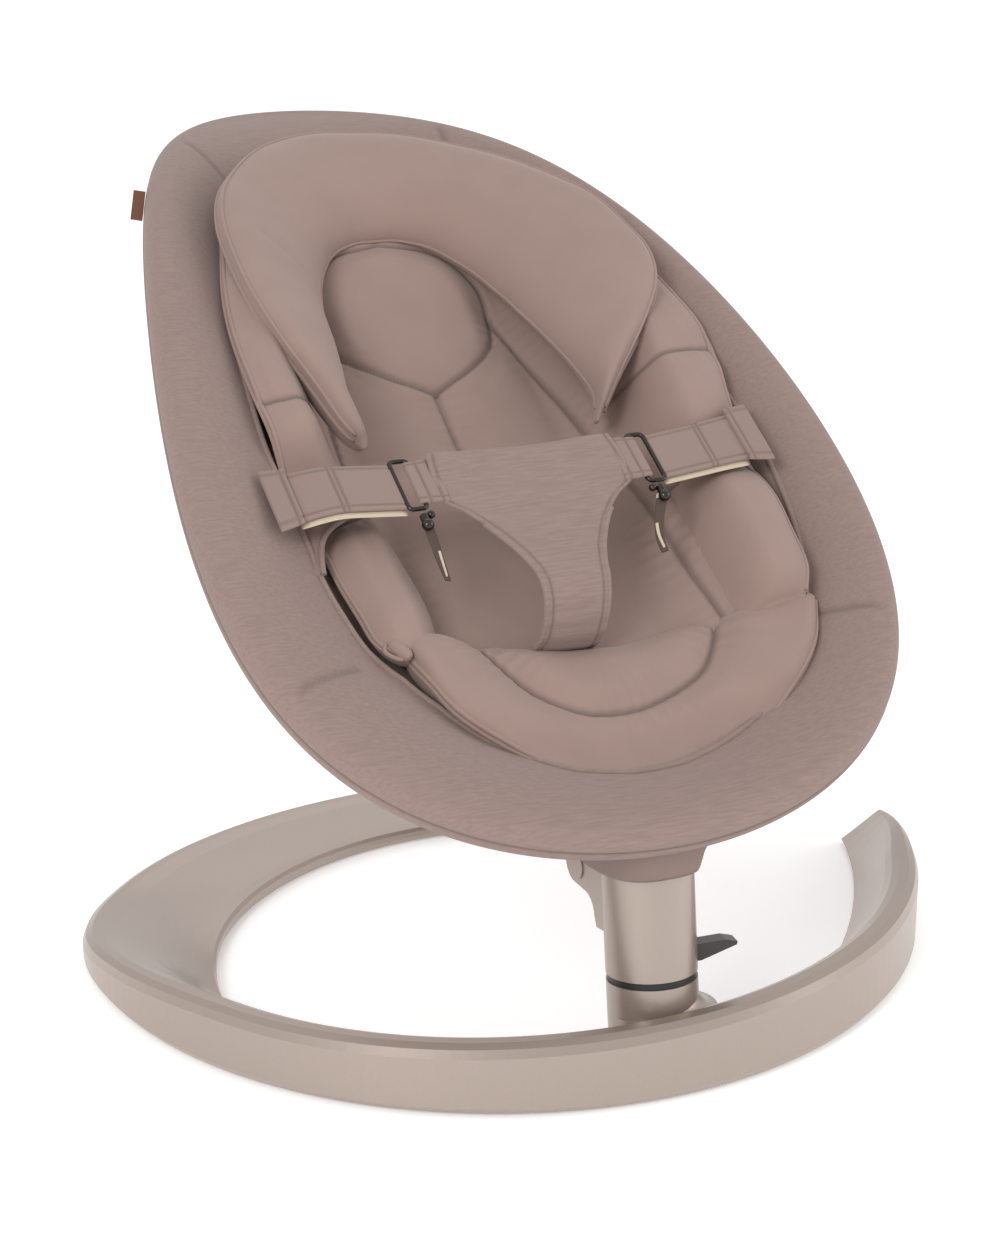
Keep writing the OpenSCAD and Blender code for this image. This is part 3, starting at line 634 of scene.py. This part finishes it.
def tethers(sign):
    """Dark webbing that hangs in a V from each buckle's swivel, with a tan edge."""
    side = "right" if sign > 0 else "left"
    start, bottom = (73, -133, HARNESS_N - 1), (68, -160, HARNESS_N - 17)
    for k, (wide, off, mat) in enumerate(((3.4, 0.0, "webbing"), (1.1, 4.2, "hook_loop"))):
        v = np.linspace(0, 1, 30)
        bow = np.sin(v * math.pi) * 4
        x = sign * (start[0] + (bottom[0] - start[0]) * v - off * (1 - v) * 0.4 - bow * 0.4)
        s = start[1] + (bottom[1] - start[1]) * v + off * 0.5
        n = start[2] + (bottom[2] - start[2]) * v - bow + off * 0.25
        u = np.linspace(-1, 1, 7)
        w = wide * (1 - 0.45 * v)[:, None] * u[None, :]
        top = seat_point(x[:, None] + sign * w, s[:, None] + 0 * w, n[:, None] + 0.3 * w)
        low = seat_point(x[:, None] + sign * w, s[:, None] - 0.7 + 0 * w, n[:, None] - 1.0 + 0.3 * w)
        obj = skin(("tether_strap_" if k == 0 else "tether_edge_") + side, np.concatenate([top, low[:, ::-1]], axis=1))
        if k == 0:
            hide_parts("tether_" + side)


COLUMN_LEAN, COLUMN_Y = math.radians(7.3), -290


def saddle_boot():
    """The fabric boot that closes the under cover round the saddle, just above the column."""
    t = np.linspace(0, 2 * math.pi, 72, endpoint=False)
    lean_c, lean_s = math.cos(COLUMN_LEAN), math.sin(COLUMN_LEAN)
    rings = []
    # Height up the leaning column, half width, half depth and the ring's centre behind the column's line.
    for h, gx, gy, mid in [(116.5, 27.6, 39.6, 11.5), (118.5, 28.4, 40.4, 11.5), (121, 29.4, 41.4, 12),
                           (126, 31.5, 43, 13), (133, 35, 48, 15), (142, 42, 56, 18), (148, 40, 54, 18.5)]:
        x = gx * np.sign(np.cos(t)) * np.abs(np.cos(t)) ** 0.7
        y = mid + gy * np.sign(np.sin(t)) * np.abs(np.sin(t)) ** 0.7
        rings.append(np.stack([x, y * lean_c + h * lean_s + COLUMN_Y, h * lean_c - y * lean_s], -1) / 1000)
    rings += [r * np.array([0.94, 1, 1]) + np.array([0, 0, 0.0006]) for r in rings[::-1]]
    obj = skin("saddle_boot", np.swapaxes(np.array(rings), 0, 1), loop=True)


for build in (seat_fabric, under_cover, back_panels, head_pillow, front_pad, crotch_panel, strap_wing, toggles,
              saddle_boot):
    build()
for sign in (-1, 1):
    bolster(sign)
    belt_side(sign)
    tethers(sign)

# ---- finishes ----


def srgb(r, g, b):
    """A colour given as 0 to 255, in linear light."""
    return tuple(((c / 255 + 0.055) / 1.055) ** 2.4 if c > 10 else c / 255 / 12.92 for c in (r, g, b)) + (1.0,)


class Finish:
    """A Principled material that is built up from a few kinds of surface detail."""

    def __init__(self, name, colour, rough, metal=0.0, coat=0.0, sheen=0.0):
        self.m = bpy.data.materials.new(name)
        self.m.use_nodes = True
        self.tree = self.m.node_tree
        self.b = self.tree.nodes["Principled BSDF"]
        self.b.inputs["Base Color"].default_value = colour
        self.b.inputs["Roughness"].default_value = rough
        self.b.inputs["Metallic"].default_value = metal
        self.b.inputs["Coat Weight"].default_value = coat
        self.b.inputs["Sheen Weight"].default_value = sheen
        self.place = self.tree.nodes.new("ShaderNodeTexCoord").outputs["Object"]
        self.colour = colour
        self.normal = None

    def seams(self, k=0.55):
        """Darkens the seam lines: painted shade in their creases."""
        mark = self.tree.nodes.new("ShaderNodeAttribute")
        mark.attribute_name = "seam"
        mix = self.tree.nodes.new("ShaderNodeMix")
        mix.data_type = "RGBA"
        self.tree.links.new(mark.outputs["Fac"], mix.inputs["Factor"])
        source = self.b.inputs["Base Color"]
        if source.is_linked:
            self.tree.links.new(source.links[0].from_socket, mix.inputs["A"])
        else:
            mix.inputs["A"].default_value = self.colour
        mix.inputs["B"].default_value = shade(self.colour, k)
        self.tree.links.new(mix.outputs["Result"], source)
        return self

    def noise(self, scale, stretch=(1, 1, 1), detail=3.0):
        mapping = self.tree.nodes.new("ShaderNodeMapping")
        mapping.inputs["Scale"].default_value = stretch
        mapping.inputs["Rotation"].default_value = (-TILT if stretch != (1, 1, 1) else 0.0, 0, 0)
        self.tree.links.new(self.place, mapping.inputs["Vector"])
        node = self.tree.nodes.new("ShaderNodeTexNoise")
        node.inputs["Scale"].default_value = scale
        node.inputs["Detail"].default_value = detail
        self.tree.links.new(mapping.outputs[0], node.inputs["Vector"])
        return node.outputs["Fac"]

    def tint(self, fac, low, high, lo=0.35, hi=0.65):
        """Colours the surface between low and high as fac runs from lo to hi."""
        ramp = self.tree.nodes.new("ShaderNodeValToRGB")
        ramp.color_ramp.elements[0].position = lo
        ramp.color_ramp.elements[0].color = low
        ramp.color_ramp.elements[1].position = hi
        ramp.color_ramp.elements[1].color = high
        self.tree.links.new(fac, ramp.inputs["Fac"])
        self.tree.links.new(ramp.outputs["Color"], self.b.inputs["Base Color"])
        return self

    def bump(self, fac, height, strength=1.0):
        node = self.tree.nodes.new("ShaderNodeBump")
        node.inputs["Distance"].default_value = height
        node.inputs["Strength"].default_value = strength
        self.tree.links.new(fac, node.inputs["Height"])
        if self.normal is not None:
            self.tree.links.new(self.normal, node.inputs["Normal"])
        self.normal = node.outputs["Normal"]
        self.tree.links.new(self.normal, self.b.inputs["Normal"])
        return self


def shade(colour, k):
    """The colour, k times as bright."""
    return tuple(c * k for c in colour[:3]) + (1.0,)


KNIT = srgb(142, 121, 114)
INSERT = srgb(151, 128, 119)
STRAP = srgb(143, 122, 114)

# The knit, the jersey and the strap weave each darken their seam lines: painted shade in the seams' creases.
knit = Finish("slub_knit", KNIT, 0.9, sheen=0.12)
streaks, fine = knit.noise(420, (0.16, 1.6, 1.6), 2), knit.noise(1500, (0.12, 1.4, 1.4), 1)
knit.tint(streaks, shade(KNIT, 0.93), shade(KNIT, 1.06)).bump(fine, 0.0004, 0.45).seams()
under = Finish("under_knit", shade(KNIT, 0.85), 0.92, sheen=0.1)
weave = under.noise(1100, (0.3, 1, 1), 2)
under.bump(weave, 0.0004, 0.4)
jersey = Finish("padded_jersey", INSERT, 0.86, sheen=0.15)
cloud, grain = jersey.noise(45), jersey.noise(1800, detail=1)
jersey.tint(cloud, shade(INSERT, 0.98), shade(INSERT, 1.02)).bump(grain, 0.0002, 0.3).seams()
woven = Finish("strap_weave", STRAP, 0.9, sheen=0.12)
woven.bump(woven.noise(1300, (0.4, 1, 1), 1), 0.0003, 0.5).seams()
cream = Finish("hook_loop_cream", srgb(206, 190, 168), 0.95)
cream.bump(cream.noise(2200, detail=1), 0.0005, 0.8)
CHAMPAGNE = srgb(168, 154, 145)
champagne = Finish("champagne_paint", CHAMPAGNE, 0.33, metal=0.7, coat=0.12)
flake = champagne.noise(2600, detail=1)
champagne.tint(flake, shade(CHAMPAGNE, 0.97), shade(CHAMPAGNE, 1.03))
rubber = Finish("foot_rubber", srgb(58, 56, 54), 0.85)
black = Finish("black_plastic", srgb(26, 25, 25), 0.4)
grey = Finish("lever_plastic", srgb(52, 48, 46), 0.38)
grey.bump(grey.noise(3000, detail=1), 0.0002, 0.3)
ivory = Finish("bearing_plastic", srgb(226, 220, 208), 0.5)
steel = Finish("turned_steel", srgb(168, 170, 172), 0.3, metal=1.0)
cast = Finish("cast_aluminium", srgb(140, 140, 142), 0.45, metal=1.0)
coat = Finish("frame_powder_coat", srgb(90, 87, 84), 0.5, metal=0.2)
wire = Finish("dark_wire", srgb(40, 34, 30), 0.22, metal=0.7, coat=0.6)
webbing = Finish("dark_webbing", srgb(82, 70, 62), 0.9)
leather = Finish("tag_leather", srgb(108, 62, 38), 0.6)
leather.bump(leather.noise(700), 0.0004, 0.5)

FINISH = {"champagne": champagne, "foot_rubber": rubber, "steel": steel, "black_plastic": black,
          "bearing_plastic": ivory, "grey_plastic": grey, "grey_cast": cast, "frame_paint": coat, "knit": knit,
          "under_fabric": under, "insert_fabric": jersey, "strap_fabric": woven, "hook_loop": cream,
          "dark_wire": wire, "webbing": webbing, "leather": leather}
MADE = {"seat_fabric": knit, "under_cover_fabric": under, "crotch_panel_fabric": knit}
for side in ("left", "right"):
    MADE.update({"strap_fabric_" + side: woven, "strap_end_" + side: woven, "belt_tongue_" + side: woven,
                 "strap_under_" + side: cream, "tether_strap_" + side: webbing, "tether_edge_" + side: cream})
MADE.update({"opening_piping": knit, "crotch_piping_left": knit, "crotch_piping_right": knit, "saddle_boot": under,
             "strap_wing_left": knit, "strap_wing_piping": knit})
slots = {p["node"]: p["material_slot"] for p in frame["record"]["subparts"]}
for node, obj in frame["nodes"].items():
    obj.data.materials.clear()
    obj.data.materials.append(FINISH[slots[node]].m)
for obj in bpy.data.objects:
    if obj.type == "MESH" and obj.name not in frame["nodes"]:
        obj.data.materials.append(MADE.get(obj.name, jersey).m)

# ---- room, light and camera ----

world = bpy.data.worlds.new("studio")
bpy.context.scene.world = world
world.use_nodes = True
world.node_tree.nodes["Background"].inputs["Color"].default_value = (1.0, 1.0, 1.0, 1)
world.node_tree.nodes["Background"].inputs["Strength"].default_value = 0.84


def area_light(name, place, target, size, power):
    """A round soft light at place that faces target."""
    data = bpy.data.lights.new(name, "AREA")
    data.shape, data.size, data.energy = "DISK", size, power
    obj = bpy.data.objects.new(name, data)
    obj.location = place
    obj.rotation_euler = (Vector(target) - Vector(place)).to_track_quat("-Z", "Y").to_euler()
    bpy.context.scene.collection.objects.link(obj)


area_light("key", (-1.7, -1.5, 1.5), (0, 0, 0.15), 0.9, 21)
area_light("fill", (2.0, -1.2, 1.1), (0, 0, 0.2), 1.6, 12)
area_light("back", (0.6, 2.0, 1.8), (0, 0, 0.3), 1.6, 3)

floor_mesh = bpy.data.meshes.new("floor")
floor_mesh.from_pydata([(-14, -14, 0), (14, -14, 0), (14, 14, 0), (-14, 14, 0)], [], [(0, 1, 2, 3)])
floor = bpy.data.objects.new("floor", floor_mesh)
bpy.context.scene.collection.objects.link(floor)
pale = Finish("pale_floor", (0.93, 0.93, 0.93, 1), 0.55)
pale.b.inputs["Emission Color"].default_value = (1, 1, 1, 1)
pale.b.inputs["Emission Strength"].default_value = 0.3
floor_mesh.materials.append(pale.m)

camera = bpy.data.objects.new("camera", bpy.data.cameras.new("camera"))
bpy.context.scene.collection.objects.link(camera)
camera.location = (-0.597, -1.432, 0.697)
camera.rotation_euler = (Vector((0.0025, -0.070, 0.190)) - camera.location).to_track_quat("-Z", "Y").to_euler()
camera.data.lens, camera.data.sensor_width = 74.85, 36
bpy.context.scene.camera = camera
bpy.context.scene.view_settings.view_transform = "Standard"
bpy.context.scene.view_settings.look = "None"
